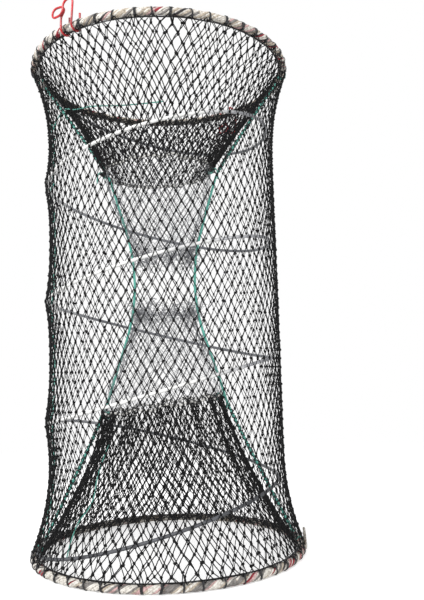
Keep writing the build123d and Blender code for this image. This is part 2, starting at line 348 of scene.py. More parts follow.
def coated_wire(settings):
    """Spring steel in a dipped vinyl coat, scuffed here and there, with painted light: white on the front
    left, a painted shade of grey to the back and right.
    """
    material, tree, skin = surface("vinyl_dipped_spring_wire", Roughness=0.33, Coat_Weight=0.3,
                                   Coat_Roughness=0.2)
    place = add_node(tree, "TexCoord")
    # Painted light and shade: this dot product grows towards the front left, so the coat is painted white
    # there and painted shaded grey to the back and right; the noise adds scuffs.
    side = add_node(tree, "VectorMath", {"operation": "DOT_PRODUCT"},
                    _0=place.outputs["Object"], _1=(-2.2, -3.2, 0.0))
    scuffs_and_painted_light = add_node(tree, "Math", {"operation": "MULTIPLY_ADD"},
                      _0=grain(tree, 24 * MM, 4.0, 0.6), _1=0.7, _2=side.outputs["Value"])
    # The ramp runs from painted shade (dark grey) through scuffed and shaded grey to the painted lit white.
    shade = add_node(tree, "ValToRGB", Fac=scuffs_and_painted_light.outputs[0], stops=[
        (0.2, "#6F7176"), (0.45, settings.worn_and_shaded_wire), (0.72, settings.wire)])
    return finished(material, skin, shade.outputs[0], (1.6 * MM, 0.06 * MM))


def dulled_wire():
    """The spring's lowest coat, which drags on the ground: worn to a dull grey."""
    return mottled("abraded_vinyl_spring_wire", 9 * MM, [(0.35, "#3C3D41"), (0.7, "#66686D")],
                   (0.8 * MM, 0.05 * MM), 4.0, 0.6, Roughness=0.55)


def hoop_steel():
    """Drawn mild steel, zinc plated: even grey with a faint spangle."""
    return mottled("zinc_plated_steel", 3 * MM, [(0.35, "#9A9C9F"), (0.65, "#B9BBBE")],
                   (0.8 * MM, 0.03 * MM), Metallic=1.0, Roughness=0.4)


def clip_coat(settings):
    """Red vinyl dipped over bent wire: glossy, thick at the feet, darker where it is stretched."""
    return mottled("red_vinyl_dip", 16 * MM, [(0.38, settings.dark_red), (0.58, settings.red)],
                   (2.5 * MM, 0.08 * MM), 3.0, Roughness=0.24, Coat_Weight=0.4, Coat_Roughness=0.12)


materials = {}


def finish_of(maker, *settings):
    """A material, made once by its own function."""
    if maker not in materials:
        materials[maker] = maker(*settings)
    return materials[maker]


# --- twine as meshes ------------------------------------------------------------------------------
def unit(vectors):
    """Vectors of length 1 along the last axis."""
    return vectors / np.maximum(np.linalg.norm(vectors, axis=-1, keepdims=True), 1e-12)


GOLDEN = (1 + math.sqrt(5)) / 2
LUMP_POINTS = unit(np.array([
    (-1, GOLDEN, 0), (1, GOLDEN, 0), (-1, -GOLDEN, 0), (1, -GOLDEN, 0),
    (0, -1, GOLDEN), (0, 1, GOLDEN), (0, -1, -GOLDEN), (0, 1, -GOLDEN),
    (GOLDEN, 0, -1), (GOLDEN, 0, 1), (-GOLDEN, 0, -1), (-GOLDEN, 0, 1)]))


def faces_of_lump():
    """The 20 triangles between neighbouring points of a lump, facing outwards."""
    edge = 1.1
    found = []
    for a, b, c in itertools.combinations(range(len(LUMP_POINTS)), 3):
        p, q, r = LUMP_POINTS[[a, b, c]]
        if max(np.linalg.norm(p - q), np.linalg.norm(q - r), np.linalg.norm(r - p)) < edge:
            found.append((a, b, c) if np.dot(np.cross(q - p, r - p), p + q + r) > 0 else (a, c, b))
    return np.array(found)


LUMP_FACES = faces_of_lump()


class Twine:
    """Gathers tubes and knots, and turns them into one mesh."""

    def __init__(self, sides=4):
        self.sides = sides
        self.points = []
        self.faces = []
        self.tones = []
        self.count = 0

    def keep(self, points, tone):
        """Stores points with a tone each, and says where they start."""
        points = points.reshape(-1, 3)
        self.points.append(points)
        self.tones.append(np.broadcast_to(tone, len(points)).astype(float))
        start = self.count
        self.count += len(points)
        return start

    def tubes(self, paths, radius, up, tone=0.0, closed=False, flat=1.0):
        """A tube along each path. Paths are (tubes, stations, 3); up stands off the surface they lie on.

        The section's height is flat times its width; tone is one value or one for each tube and station.
        """
        tubes, stations, _ = paths.shape
        ahead = unit(np.roll(paths, -1, 1) - np.roll(paths, 1, 1) if closed else np.gradient(paths, axis=1))
        side = unit(np.cross(ahead, np.broadcast_to(up, paths.shape)))
        up = np.cross(side, ahead)
        turn = np.arange(self.sides) * math.tau / self.sides
        ring = np.cos(turn)[:, None] * side[:, :, None] + flat * np.sin(turn)[:, None] * up[:, :, None]
        radius = np.broadcast_to(radius, (tubes, stations))[:, :, None, None]
        tone = np.broadcast_to(tone, (tubes, stations))
        start = self.keep(paths[:, :, None] + radius * ring, np.repeat(tone.ravel(), self.sides))
        tube = start + np.arange(tubes)[:, None, None] * stations * self.sides
        here = np.arange(stations if closed else stations - 1)[None, :, None]
        there = (here + 1) % stations * self.sides
        here, there = tube + here * self.sides, tube + there
        corner = np.arange(self.sides)[None, None]
        following = (corner + 1) % self.sides
        quads = np.broadcast_arrays(here + corner, there + corner, there + following, here + following)
        self.faces.extend(np.stack(quads, -1).reshape(-1, 4).tolist())
        if not closed:
            ends = tube[:, 0] + np.arange(self.sides)
            self.faces.extend(ends.tolist())
            self.faces.extend((ends[:, ::-1] + (stations - 1) * self.sides).tolist())

    def lumps(self, centres, size, frames, tone=0.0):
        """A knot at each centre: size is (along, across, high) half widths, frames its three directions."""
        points = np.einsum("pk,nkc->npc", LUMP_POINTS * np.asarray(size), frames) + centres[:, None]
        start = self.keep(points, tone)
        each = start + np.arange(len(centres))[:, None, None] * len(LUMP_POINTS)
        self.faces.extend((each + LUMP_FACES).reshape(-1, 3).tolist())

    def fit(self, name, finish, body, slot, nodes=(), folds=False):
        """The finished piece, on its body in place of its nodes; a soft one gets a mesh of its own."""
        mesh = bpy.data.meshes.new(name)
        mesh.from_pydata(np.concatenate(self.points).tolist(), [], self.faces)
        mesh.attributes.new("tone", "FLOAT", "POINT").data.foreach_set("value", np.concatenate(self.tones))
        mesh.shade_smooth()
        mesh.materials.append(finish)
        piece = new_object(name, mesh)
        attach(piece, body)
        if nodes:
            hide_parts(*nodes)
        if folds:
            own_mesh(piece)
        return piece


def once_round(stations):
    """Evenly spaced azimuths round the trap."""
    return np.linspace(0, math.tau, stations, endpoint=False)


def around(angle, radius, level):
    """Points at an azimuth, a radius and a height."""
    return np.stack(np.broadcast_arrays(np.cos(angle) * radius, np.sin(angle) * radius, level), -1)


def outward(points):
    """Horizontal directions away from the trap's axis."""
    return unit(points * [1, 1, 0])


class Drift:
    """Smooth uneven values round the trap and along it, about -1 to 1."""

    def __init__(self, seed, waves=(1, 2, 3, 5), climbs=(0.4, 1.7)):
        draw = np.random.default_rng(seed)
        self.round = draw.choice(waves, 6) * draw.choice((-1, 1), 6)
        self.along = draw.uniform(*climbs, 6)
        self.phase = draw.uniform(0, math.tau, 6)

    def at(self, angle, share):
        """Value at an azimuth and a share of the way along."""
        angle, share = np.broadcast_arrays(angle, share)
        waves = angle[..., None] * self.round + math.tau * share[..., None] * self.along + self.phase
        return np.sin(waves).sum(-1) / 2.6


def strand_ends(columns, rows):
    """Index pairs of the knots that each twine of a diamond net joins, as two families of diagonals."""
    row, column = np.meshgrid(np.arange(rows), np.arange(columns), indexing="ij")
    here, above = row * columns + column, (row + 1) * columns
    return [np.stack([here, above + (column + row % 2 - back) % columns], -1).reshape(-1, 2)
            for back in (0, 1)]


def net_grid(columns, rows, phase):
    """Azimuths and shares of the way along for each knot of a net."""
    row, column = np.meshgrid(np.arange(rows + 1), np.arange(columns), indexing="ij")
    angle = phase + (column + 0.5 * (row % 2)) * math.tau / columns
    return angle, row / rows


def drawn_to_ties(angle, share, ties, strength, reach):
    """Azimuths of a net's outer rows, drawn towards the ties on the hoop."""
    spacing = math.tau / ties
    nearest = np.round(angle / spacing) * spacing
    hold = strength * np.clip(1 - share / reach, 0, 1)
    return angle + hold * (nearest - angle)


def spring_line(angle):
    """Radius and height of each half turn of the spring at each azimuth; an absent one is put far off."""
    first, last = pivots[:-1], pivots[1:]
    centre, half_width = (first[:, 0] + last[:, 0]) / 2, np.abs(last[:, 0] - first[:, 0]) / 2
    depth = np.linalg.norm(last - first, axis=1) / 2
    cosine, sine = np.cos(angle)[:, None], np.sin(angle)[:, None]
    a = (cosine / half_width) ** 2 + (sine / depth) ** 2
    b = -2 * centre * cosine / half_width ** 2
    c = (centre / half_width) ** 2 - 1
    radius = (-b + np.sqrt(b * b - 4 * a * c)) / (2 * a)
    climb = (radius * cosine - first[:, 0]) / (last[:, 0] - first[:, 0])
    level = first[:, 1] + climb * (last[:, 1] - first[:, 1])
    in_front = np.arange(half_turns) % 2 == 0
    return radius, np.where((sine < 0) == in_front, level, 1.0)


def relaxed_body(settings, ties):
    """Knots of the body net, pulled tight between the hoops and held out by the spring."""
    columns, rows = settings.body_columns, settings.body_rows
    angle, share = net_grid(columns, rows, 0.0)
    edge = np.minimum(share, 1 - share)
    angle = drawn_to_ties(angle, edge, ties, strength=0.62, reach=1.2 / rows)
    low = lower_plane + 0.8 * binding_radius
    high = upper_plane - 0.8 * binding_radius
    mouth = hoop_radius + 0.72 * binding_radius
    opening_share, opening_curve = 0.13, 1.6
    opening = np.clip(1 - edge / opening_share, 0, 1) ** opening_curve
    knots = around(angle, settings.waist + (mouth - settings.waist) * opening, low + (high - low) * share)
    slip = 3.5 * MM * np.sin(math.pi * share)
    knots += around(angle + math.pi / 2, slip * Drift(11).at(angle, share), 0)
    knots[..., 2] += slip * Drift(12).at(angle, share)
    flat = knots.reshape(-1, 3)
    rising, falling = strand_ends(columns, rows)
    ends = np.concatenate([rising, falling])
    slack = np.repeat((1.012, 0.988), (len(rising), len(falling)))
    unevenness = 0.035
    length = settings.body_bar * np.random.default_rng(3).normal(1, unevenness, len(ends)) * slack
    held = np.zeros(len(flat), bool)
    held[:columns] = held[-columns:] = True
    wire_clear = (coil_wire + settings.twine) / 2 + 0.3 * MM
    rounds, pace, near_wire, bulge = 260, 0.42, 9 * MM, 25 * MM
    for _ in range(rounds):
        span = flat[ends[:, 1]] - flat[ends[:, 0]]
        reach = np.linalg.norm(span, axis=1)
        pull = (0.5 * (reach - length) / reach)[:, None] * span
        move = np.zeros_like(flat)
        for axis in range(3):
            move[:, axis] += np.bincount(ends[:, 0], pull[:, axis], len(flat))
            move[:, axis] -= np.bincount(ends[:, 1], pull[:, axis], len(flat))
        move[held] = 0
        flat += pace * move
        wire, levels = spring_line(np.arctan2(flat[:, 1], flat[:, 0]))
        off = np.abs(flat[:, 2:] - levels)
        needed = np.where(off < near_wire, wire + wire_clear - off ** 2 / (2 * bulge), 0).max(1)
        radius = np.hypot(flat[:, 0], flat[:, 1])
        grow = np.where((radius < needed) & ~held, needed / radius, 1)
        flat[:, :2] *= grow[:, None]
    return flat


def bars(knots, ends, bow, seed):
    """Three points for each twine between its two knots, the middle one slightly off the straight."""
    draw = np.random.default_rng(seed)
    first, last = knots[ends[:, 0]], knots[ends[:, 1]]
    middle = (first + last) / 2 + draw.normal(0, bow, (len(ends), 3))
    return np.stack([first, middle, last], 1)


def knot_frames(knots, tilt, seed):
    """Directions of each net knot: along the trap, across and outwards, tilted a little."""
    draw = np.random.default_rng(seed)
    out = unit(outward(knots) + draw.normal(0, tilt, knots.shape))
    along = unit(UP + draw.normal(0, tilt, knots.shape))
    across = unit(np.cross(out, along))
    along = np.cross(across, out)
    return np.stack([along, across, out], 1)


KNOT_SHAPE = np.array([0.62, 0.46, 0.42])


def knotted_net(knots, columns, rows, twine, knot, seed):
    """A diamond net of twine with a knot at each crossing."""
    made = Twine(4)
    bow = 0.25 * twine
    paths = bars(knots, np.concatenate(strand_ends(columns, rows)), bow, seed)
    made.tubes(paths, twine / 2, outward(paths))
    inner = knots[columns:-columns]
    made.lumps(inner, KNOT_SHAPE * knot, knot_frames(inner, 0.5, seed + 1))
    return made


# --- cords along splines --------------------------------------------------------------------------
def smooth_line(points, step=1.5 * MM):
    """Evenly spaced points on the smooth spline that a list of control points gives."""
    curve = bpy.data.curves.new("route", "CURVE")
    curve.dimensions = "3D"
    curve.resolution_u = 24
    spline = curve.splines.new("NURBS")
    spline.points.add(len(points) - 1)
    for point, place in zip(spline.points, points):
        point.co = (*place, 1.0)
    spline.order_u = 3
    spline.use_endpoint_u = True
    holder = new_object("route", curve)
    sampled = bpy.data.meshes.new_from_object(holder)
    line = np.array([vertex.co for vertex in sampled.vertices])
    bpy.data.objects.remove(holder)
    bpy.data.curves.remove(curve)
    bpy.data.meshes.remove(sampled)
    return evenly(line, step)


def gone_along(line):
    """Distance gone at each point of a line."""
    return np.concatenate([[0], np.cumsum(np.linalg.norm(np.diff(line, axis=0), axis=1))])


def evenly(line, step):
    """A line sampled again at even steps."""
    gone = gone_along(line)
    stops = np.linspace(0, gone[-1], max(3, round(gone[-1] / step)))
    return np.stack([np.interp(stops, gone, line[:, axis]) for axis in range(3)], -1)


def round_line(line, turn, up):
    """Directions square to a line, one for each of its points, at the angles that turn gives."""
    ahead = unit(np.gradient(line, axis=0))
    side = unit(np.cross(ahead, np.broadcast_to(up, line.shape)))
    return np.cos(turn)[:, None] * side + np.sin(turn)[:, None] * np.cross(side, ahead)


def twisted(made, line, diameter, lay, strands, up, tone=0.35):
    """Adds a twisted cord along a line: strands that wind round it side by side."""
    strand = diameter / (1 + 1 / math.sin(math.pi / strands)) if strands > 1 else diameter / 2
    for number in range(strands):
        out = round_line(line, math.tau * (gone_along(line) / lay + number / strands), up)
        made.tubes((line + (diameter / 2 - strand) * out)[None], strand, out[None], tone)


def bound_to(place, ahead, radius, twine, turns, tilt, seed, made, tone=0.0):
    """Adds a few turns of twine round something at a place, across its direction."""
    draw = np.random.default_rng(seed)
    ahead = unit(np.asarray(ahead, float))
    side = unit(np.cross(ahead, UP if abs(ahead[2]) < 0.9 else (1.0, 0.0, 0.0)))
    stations, closeness = round(12 * turns) + 1, 0.95
    turn = np.linspace(0, math.tau * turns, stations) + draw.uniform(0, 6)
    shift = np.linspace(-0.5, 0.5, stations) * turns * twine * closeness + tilt * radius * np.sin(turn)
    out = np.cos(turn)[:, None] * side + np.sin(turn)[:, None] * np.cross(side, ahead)
    rough = radius + twine / 2 + draw.uniform(0, 0.35 * twine) + 0.1 * twine * np.sin(5 * turn)
    line = place + shift[:, None] * ahead + rough[:, None] * out
    made.tubes(line[None], twine / 2, out[None], tone)


def tangle(made, place, size, loops, twine, seed):
    """Adds loose loops of twine round a place; size gives their half widths along X, Y and Z."""
    draw = np.random.default_rng(seed)
    turn = once_round(11)[None, :, None]
    first = unit(draw.normal(0, 1, (loops, 1, 3)))
    second = unit(np.cross(first, draw.normal(0, 1, (loops, 1, 3))))
    wide = draw.uniform(0.35, 1.0, (loops, 1, 1))
    paths = wide * (np.cos(turn) * first + np.sin(turn) * second * draw.uniform(0.4, 1.0, (loops, 1, 1)))
    paths = (paths + draw.normal(0, 0.25, (loops, 1, 3))) * size + place
    made.tubes(paths, twine / 2, np.cross(first, second), closed=True)


# --- the pieces and their operators ---------------------------------------------------------------
class TrapCamera(bpy.types.Operator):
    """Put up the camera"""
    bl_idname = "trap.camera"
    bl_label = "Camera"

    def execute(self, context):
        stage = context.scene.trap_stage
        data = bpy.data.cameras.new("trap_camera")
        data.sensor_width = 36
        data.lens = stage.camera_lens
        data.clip_start = 0.01
        data.clip_end = 60
        camera = new_object("trap_camera", data)
        camera.matrix_world = (Matrix.Translation(stage.camera_place)
                               @ Matrix.Rotation(-stage.camera_turn, 4, "Z")
                               @ Matrix.Rotation(math.pi / 2 + stage.camera_climb, 4, "X")
                               @ Matrix.Rotation(stage.camera_roll, 4, "Z"))
        context.scene.camera = camera
        return {"FINISHED"}


def side_cord_points(side):
    """Route of a side cord, from the upper hoop to the lower one: funnel, throat, throat, funnel."""
    low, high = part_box("right_side_cord")
    half = (high.y - low.y) / 2
    upper_neck, lower_neck = node_middle("upper_funnel_rim"), node_middle("lower_funnel_rim")
    upper_rim, lower_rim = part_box("upper_funnel_rim")[1].x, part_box("lower_funnel_rim")[1].x
    upper_slit, lower_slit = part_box("upper_throat_net")[0].z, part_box("lower_throat_net")[1].z
    far, near = high.x - half, low.x + half
    top, bottom = high.z - half, low.z + half
    sway = 1 * MM if side < 0 else -1.5 * MM
    return [
        (side * far, 0, top),
        (side * (upper_rim + 4 * MM), 2 * sway, upper_neck + 6 * MM),
        (side * (upper_rim - 5 * MM), sway, upper_neck - 22 * MM),
        (side * (near + 3 * MM), -2 * sway, upper_slit + 12 * MM),
        (side * near, sway, (2 * upper_slit + lower_slit) / 3),
        (side * near, -sway, (upper_slit + 2 * lower_slit) / 3),
        (side * (near + 4 * MM), 2 * sway, lower_slit - 14 * MM),
        (side * (lower_rim - 3 * MM), sway, lower_neck + 20 * MM),
        (side * (lower_rim + 4 * MM), -sway, lower_neck - 8 * MM),
        (side * far, 0, bottom),
    ]


def lace_side(name, line, diameter):
    """Black twine round a side cord where it runs down the edge of each funnel."""
    twine, step = 1.1 * MM, 0.5 * MM
    made = Twine(5)
    above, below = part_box("upper_funnel_rim")[0].z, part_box("lower_funnel_rim")[1].z
    for number, laced in enumerate((line[line[:, 2] > above], line[line[:, 2] < below])):
        path = evenly(laced, step)
        gone = np.arange(len(path)) * step
        for start, pitch in ((0.0, 5.2 * MM), (2.0, -7.4 * MM)):
            uneven = 0.8 * np.sin(gone / (17 * MM) + number)
            out = round_line(path, math.tau * gone / pitch + start + uneven, (0.0, 1.0, 0.0))
            made.tubes((path + out * (diameter + twine) / 2)[None], twine / 2, out[None])
    made.fit(f"{name}_side_lacing", finish_of(tying_twine), LOWER, "black_twine", folds=True)


class TrapSideCords(bpy.types.Operator):
    """Lay the two green side cords"""
    bl_idname = "trap.side_cords"
    bl_label = "Side cords"

    def execute(self, context):
        cords = context.scene.trap_cords
        low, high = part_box("left_side_cord")
        diameter = high.y - low.y
        green = finish_of(green_cord, cords)
        for side, name in ((-1, "left"), (1, "right")):
            points = side_cord_points(side)
            line = smooth_line(points)
            made = Twine(6)
            twisted(made, line, diameter, cords.lay, cords.strands, (0.0, 1.0, 0.0))
            cord = made.fit(f"{name}_green_side_cord", green, LOWER, "green_cord",
                            [f"{name}_side_cord"], folds=True)
            lace_side(name, line, diameter)
        return {"FINISHED"}


def lace_seam(nets, cords, knots):
    """Lacing that closes the body net up its left side."""
    rows = knots.reshape(nets.body_rows + 1, nets.body_columns, 3)
    turn = np.arctan2(rows[..., 1], rows[..., 0]) - node_azimuth("body_seam_lacing")
    turn = np.abs((turn + math.pi) % (math.tau) - math.pi)
    edge = np.array([row[np.argmin(off)] for row, off in zip(rows, turn)])[1:-1]
    edge += outward(edge) * (nets.twine + cords.seam_twine) / 2
    line = smooth_line(edge.tolist(), 2 * MM)
    made = Twine(5)
    tone = 0.15 + 0.35 * (np.sin(line[:, 2] / (23 * MM)) > 0.2)
    twisted(made, line, cords.seam_twine, 5 * MM, 2, outward(line), tone)
    turns = round(gone_along(line)[-1] / (19 * MM))
    wind = math.tau * np.linspace(0, 1, len(line))[:, None] * turns
    out = outward(line)
    across = np.cross(out, UP)
    wound = line + 2.4 * MM * np.cos(wind) * across + 1.6 * MM * np.sin(wind) * out
    made.tubes(wound[None], 0.4 * cords.seam_twine, out[None], tone)
    made.fit("seam_lacing", finish_of(green_cord, cords), LOWER, "green_cord", ["body_seam_lacing"],
             folds=True)


class TrapBodyNet(bpy.types.Operator):
    """Knot the body net between the hoops"""
    bl_idname = "trap.body_net"
    bl_label = "Body net"

    def execute(self, context):
        nets, bindings = context.scene.trap_nets, context.scene.trap_bindings
        black = finish_of(net_twine, nets)
        knots = relaxed_body(nets, bindings.ties)
        net = knotted_net(knots, nets.body_columns, nets.body_rows, nets.twine, nets.knot, 21)
        net.fit("body_net_meshes", black, LOWER, "black_net", ["body_net"], folds=True)
        lace_seam(nets, context.scene.trap_cords, knots)
        return {"FINISHED"}


class Funnel:
    """Places on a funnel: mouth at its hoop, neck on its rim, tilted a little where the spring holds it."""

    def __init__(self, which, nets):
        self.which = which
        self.columns, self.pleat = nets.funnel_columns, nets.pleat
        low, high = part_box(f"{which}_funnel_net")
        rim_low, rim_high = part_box(f"{which}_funnel_rim")
        self.rim = (rim_high.z - rim_low.z) / 2
        self.neck_radius = rim_high.x - self.rim
        self.neck = (rim_low.z + rim_high.z) / 2
        self.mouth = low.z if which == "lower" else high.z
        play = 0.3 * MM
        self.mouth_radius = hoop_radius - binding_radius - play
        slope = math.hypot(self.neck - self.mouth, self.mouth_radius - self.neck_radius)
        self.rows = round(slope / nets.funnel_bar)
        self.tilt, self.flare, self.seed = (0.13, 1.25, 31) if which == "lower" else (0.03, 1.05, 41)
        self.aside = -5 * MM

    def surface(self, angle, share):
        """Point of the funnel at an azimuth and a share of the way from mouth to neck."""
        angle, share = np.asarray(angle), np.asarray(share)
        pleats = Drift(self.seed, (9, 11, 14, 17), (0.1, 0.5)).at(angle, share)
        sag = Drift(self.seed + 1, (1, 2, 3), (0.3, 0.8)).at(angle, share)
        radius = self.neck_radius + (self.mouth_radius - self.neck_radius) * (1 - share) ** self.flare
        depth = self.pleat * share ** 1.4 * (1 - 0.6 * share ** 8)
        radius = radius + depth * pleats + 2.5 * MM * np.sin(math.pi * share) * sag
        level = self.mouth + (self.neck - self.mouth) * share
        level = level + 1.5 * MM * share * pleats + self.tilt * np.cos(angle) * radius * share ** 2
        return around(angle, radius, level) + share[..., None] ** 2 * np.array([self.aside, 0, 0])


def edge_cords(funnel, body):
    """Black cords that hold the nets' edges against the inside of a hoop."""
    plane, inwards = (lower_plane, 1) if body == LOWER else (upper_plane, -1)
    made = Twine(5)
    along = once_round(320)
    for number, turn in enumerate((112, 138, 166)):
        drift = Drift(funnel.seed + number, (5, 9, 16, 24), (0, 0.1)).at(along, 0)
        turn = math.radians(turn) + 0.1 * drift
        reach = binding_radius + 0.5 * MM + 0.25 * MM * drift
        line = around(along, hoop_radius + reach * np.cos(turn), plane + inwards * reach * np.sin(turn))
        made.tubes(line[None], 0.6 * MM, UP, closed=True)
    made.fit(f"{funnel.which}_net_edge_cords", finish_of(tying_twine), body, "black_twine")


def gather_corners(cords, funnel, body):
    """Knots of black and green twine where a side cord holds a funnel's neck."""
    black, green = Twine(5), Twine(5)
    plane, inwards = (lower_plane, 0.7 * MM) if body == LOWER else (upper_plane, -0.7 * MM)
    for number, azimuth in enumerate((0.0, math.pi)):
        corner = funnel.surface(azimuth, 1.0)
        seed = funnel.seed * 10 + number
        tangle(black, corner, (7 * MM, 6 * MM, 3.5 * MM), 15, 1.1 * MM, seed)
        bound_to(corner, (0, 1, 0), 2.4 * MM, 1.3 * MM, 3, 0.3, seed + 2, green, 0.35)
        bound_to(corner + [0, 2 * MM, 0], (0.3, 1, 0.2), 3 * MM, 1.1 * MM, 2, 0.4, seed + 4, green, 0.2)
        hanging = [(0, 0, 0), (5, -4, 3), (9, -6, -4), (8, -9, -13)]
        tail = corner + np.array(hanging) * (math.cos(azimuth), 1, 1) * MM
        twisted(green, smooth_line(tail.tolist()), 1.6 * MM, 5 * MM, 2, (0.3, 1.0, 0.0))
        hoop = around(azimuth, hoop_radius, plane + inwards)
        bound_to(hoop, (0, 1, 0), binding_radius - 0.6 * MM, 1.3 * MM, 4, 0.25, seed + 6, green, 0.3)
    loose_thread(green, funnel)
    black.fit(f"{funnel.which}_neck_gathers", finish_of(tying_twine), body, "black_twine", folds=True)
    green.fit(f"{funnel.which}_neck_windings", finish_of(green_cord, cords), body, "green_cord",
              folds=True)


def loose_thread(made, funnel):
    """Green thread left over from the side cords, woven along a funnel's net."""
    woven = {"upper": [(3.08, 0.3), (3.3, 0.38), (3.6, 0.5), (3.95, 0.55), (4.35, 0.62), (4.8, 0.6)],
             "lower": [(3.9, 0.8), (3.82, 0.62), (3.95, 0.42), (3.8, 0.28), (3.9, 0.1)]}[funnel.which]
    path = funnel.surface(*np.array(woven).T)
    path += outward(path) * 1.6 * MM
    if funnel.which == "upper":
        hanging = np.array([(-13, -9, -34), (-9, -7, -21), (-5, -2, -9)]) * MM
        path = np.concatenate([path[0] + hanging, path])
    twisted(made, smooth_line(path.tolist()), 1.3 * MM, 5 * MM, 2, (0.2, 0.3, 1.0))


def lash_rim(funnel, body):
    """The neck's cord with the net lashed to it by black twine."""
    angle = once_round(260)
    line = funnel.surface(angle, np.ones(len(angle)))
    cord = Twine(6)
    cord.tubes(line[None], funnel.rim * 1.15, outward(line)[None], closed=True)
    cord.fit(f"{funnel.which}_neck_cord", finish_of(pale_cord), body, "black_twine",
             [f"{funnel.which}_funnel_rim"], folds=True)
    made = Twine(5)
    for number in range(funnel.columns):
        at = (number + 0.5 * (funnel.rows % 2)) * math.tau / funnel.columns + 0.02
        place = funnel.surface(at, 1.0)
        ahead = funnel.surface(at + 0.01, 1.0) - place
        turns = 1.6 + number % 3 * 0.5
        bound_to(place, ahead, funnel.rim * 1.2, 0.9 * MM, turns, 0.5, 500 + number, made)
    made.fit(f"{funnel.which}_neck_lashing", finish_of(tying_twine), body, "black_twine", folds=True)


class TrapFunnels(bpy.types.Operator):
    """Knot the two funnels and their rims"""
    bl_idname = "trap.funnels"
    bl_label = "Funnels"

    def execute(self, context):
        nets, ties = context.scene.trap_nets, context.scene.trap_bindings.ties
        black = finish_of(net_twine, nets)
        for which, body in (("lower", LOWER), ("upper", UPPER)):
            funnel = Funnel(which, nets)
            angle, share = net_grid(funnel.columns, funnel.rows, 0.02)
            angle = drawn_to_ties(angle, share, ties, strength=0.6, reach=1.5 / funnel.rows)
            draw = np.random.default_rng(funnel.seed + 5)
            angle = angle + draw.normal(0, 0.012, angle.shape) * share
            share = np.clip(share + draw.normal(0, 0.008, share.shape) * np.sin(math.pi * share), 0, 1)
            knots = funnel.surface(angle, share).reshape(-1, 3)
            net = knotted_net(knots, funnel.columns, funnel.rows, nets.funnel_twine, nets.knot,
                              funnel.seed + 2)
            net.fit(f"{which}_funnel_meshes", black, body, "black_net", [f"{which}_funnel_net"], folds=True)
            lash_rim(funnel, body)
            edge_cords(funnel, body)
            gather_corners(context.scene.trap_cords, funnel, body)
        return {"FINISHED"}


def throat_tube(funnel, angle, share, end, seed):
    """Points of a throat, round at its neck and flattened between the side cords at its inner end."""
    neck = funnel.surface(angle, np.ones_like(angle))
    half_width, half_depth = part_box("right_side_cord")[0].x - 0.3 * MM, 8 * MM
    slit = np.stack([half_width * np.cos(angle), half_depth * np.sin(angle), np.full(angle.shape, end)], -1)
    ease = (1 - np.cos(math.pi * share ** 0.85)) / 2
    folds = Drift(seed + 3, (6, 9, 13), (0.1, 0.6)).at(angle, share)
    points = neck * (1 - ease[..., None]) + slit * ease[..., None]
    gathered = 1 - (1 - share) ** 1.35
    points[..., 2] = neck[..., 2] * (1 - gathered) + end * gathered
    return points + outward(points) * (2.2 * MM * np.sin(math.pi * share) * folds)[..., None]


def fray(made, edge, twine, seed):
    """Tangled loops of the last meshes along a throat's inner end."""
    draw = np.random.default_rng(seed)
    loops, stations, spread = 260, 9, 16 * MM
    start = edge[draw.integers(0, len(edge), loops)]
    start += draw.normal(0, 5 * MM, (loops, 3)) * [0.6, 0.4, 1.2]
    steps = draw.normal(0, 2.0 * MM, (loops, stations, 3))
    steps[:, 0] = 0
    paths = start[:, None] + np.cumsum(steps, 1) * [1, 0.6, 0.8]
    paths[..., 2] = np.clip(paths[..., 2], edge[:, 2].min() - spread, edge[:, 2].max() + spread)
    made.tubes(paths, twine / 2, (0.1, 1.0, 0.2))


class TrapThroats(bpy.types.Operator):
    """Hang the two fine throats"""
    bl_idname = "trap.throats"
    bl_label = "Throats"

    def execute(self, context):
        nets = context.scene.trap_nets
        fine = finish_of(throat_monofilament, nets)
        for which, body, seed in (("lower", LOWER, 61), ("upper", UPPER, 71)):
            funnel = Funnel(which, nets)
            low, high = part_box(f"{which}_throat_net")
            end = high.z if which == "lower" else low.z
            columns, rows = nets.throat_columns, nets.throat_rows
            angle, share = net_grid(columns, rows, 0.05)
            draw = np.random.default_rng(seed)
            near_end = np.clip((share - 0.8) / 0.2, 0, 1)[..., None]
            uneven, frayed = 0.5 * MM, 2.2 * MM
            knots = throat_tube(funnel, angle, share, end, seed)
            knots += draw.normal(0, 1, knots.shape) * (uneven + frayed * near_end)
            knots = knots.reshape(-1, 3)
            made = Twine(4)
            paths = bars(knots, np.concatenate(strand_ends(columns, rows)), 0.3 * MM, seed + 1)
            off_axis = [1e-6, 0, 0]
            made.tubes(paths, nets.throat_twine / 2, outward(paths + off_axis))
            fray(made, knots[-columns:], nets.throat_twine, seed + 2)
            made.fit(f"{which}_throat_meshes", fine, body, "throat_net", [f"{which}_throat_net"],
                     folds=True)
        return {"FINISHED"}


def wind_strips(made, bindings, level, seed):
    """Strips side by side round the hoop's ring, each changing colour here and there."""
    draw = np.random.default_rng(seed)
    stations, joins = bindings.strip_turns * 14, 26
    along = once_round(stations)
    strip = math.pi * (hoop_wire + binding_radius * 2) / 2 / bindings.strips
    for number in range(bindings.strips):
        turn = bindings.strip_turns * along + math.tau * number / bindings.strips
        uneven = Drift(seed + number, (3, 7, 19), (0, 0.1)).at(along, 0)
        section = binding_radius - 1.25 * MM + 0.22 * MM * uneven
        turn = turn + 0.1 * Drift(seed + 50 + number, (2, 5, 11), (0, 0.1)).at(along, 0)
        out = around(along, 1.0, 0) * np.cos(turn)[:, None] + UP * np.sin(turn)[:, None]
        line = around(along, hoop_radius, level) + out * section[:, None]
        width = strip * 0.78 * (1 + 0.14 * uneven)
        changes = np.sort(draw.integers(0, stations, joins))
        tones = draw.uniform(0, 1, joins + 1)
        tones[-1] = tones[0]
        tone = tones[np.searchsorted(changes, np.arange(stations))]
        made.tubes(line[None], width[None] / 2 * 1.15, out[None], tone[None], closed=True, flat=0.62)


